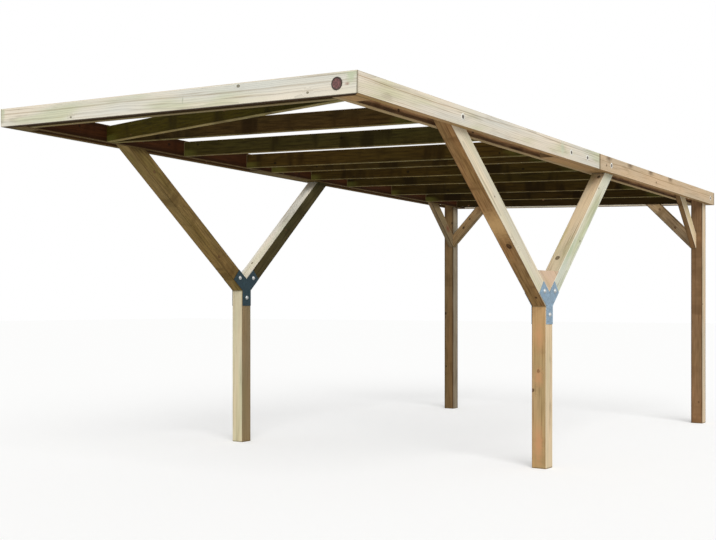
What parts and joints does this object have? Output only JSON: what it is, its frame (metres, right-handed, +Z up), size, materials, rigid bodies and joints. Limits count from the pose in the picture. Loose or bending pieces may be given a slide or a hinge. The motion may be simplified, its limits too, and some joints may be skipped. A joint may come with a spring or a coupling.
{
  "type": "carport",
  "caption": "Open timber carport frame with forked front posts, straight braced rear posts, twin-plank side beams and rafters, with no roof covering.",
  "frame": {"origin": "on the ground under the middle of the roof frame", "axes": "+X to the right seen from the front, +Y from the front to the rear, +Z up"},
  "size_m": [2.9, 6.0906, 2.4458],
  "materials": {
    "beam_timber": "pressure-treated pine, weathered pale greenish beige",
    "rafter_timber": "pressure-treated pine, dark olive brown",
    "post_timber": "pressure-treated pine, warm tan with knots",
    "arm_timber": "pressure-treated pine, tan and pale green",
    "galvanised_steel": "hot-dip galvanised, dull blue-grey",
    "dark_plastic": "plain dark brown, matt"
  },
  "bodies": {
    "root": {"diagonal_brace": "rafter_timber", "front_cap": "dark_plastic", "front_fascia": "beam_timber", "header": "rafter_timber", "left_end_block": "rafter_timber", "left_fork_front_arm": "arm_timber", "left_fork_plate_inner": "galvanised_steel", "left_fork_plate_outer": "galvanised_steel", "left_fork_rear_arm": "arm_timber", "left_front_post": "post_timber", "left_inner_plank_front": "rafter_timber", "left_inner_plank_rear": "rafter_timber", "left_outer_plank_front": "beam_timber", "left_outer_plank_rear": "beam_timber", "left_rear_cross_brace": "arm_timber", "left_rear_post": "post_timber", "left_rear_side_brace": "arm_timber", "left_splice_block": "rafter_timber", "rafter_1": "rafter_timber", "rafter_2": "rafter_timber", "rafter_3": "rafter_timber", "rafter_4": "rafter_timber", "rafter_5": "rafter_timber", "rafter_6": "rafter_timber", "rafter_7": "rafter_timber", "rafter_8": "rafter_timber", "rear_fascia": "beam_timber", "rear_tie_beam": "rafter_timber", "right_end_block": "rafter_timber", "right_fork_front_arm": "arm_timber", "right_fork_plate_inner": "galvanised_steel", "right_fork_plate_outer": "galvanised_steel", "right_fork_rear_arm": "arm_timber", "right_fork_wedge": "arm_timber", "right_front_post": "post_timber", "right_inner_plank_front": "rafter_timber", "right_inner_plank_rear": "rafter_timber", "right_outer_plank_front": "beam_timber", "right_outer_plank_rear": "beam_timber", "right_rear_cross_brace": "arm_timber", "right_rear_post": "post_timber", "right_rear_side_brace": "arm_timber", "right_splice_block": "rafter_timber"}
  },
  "joints": []
}
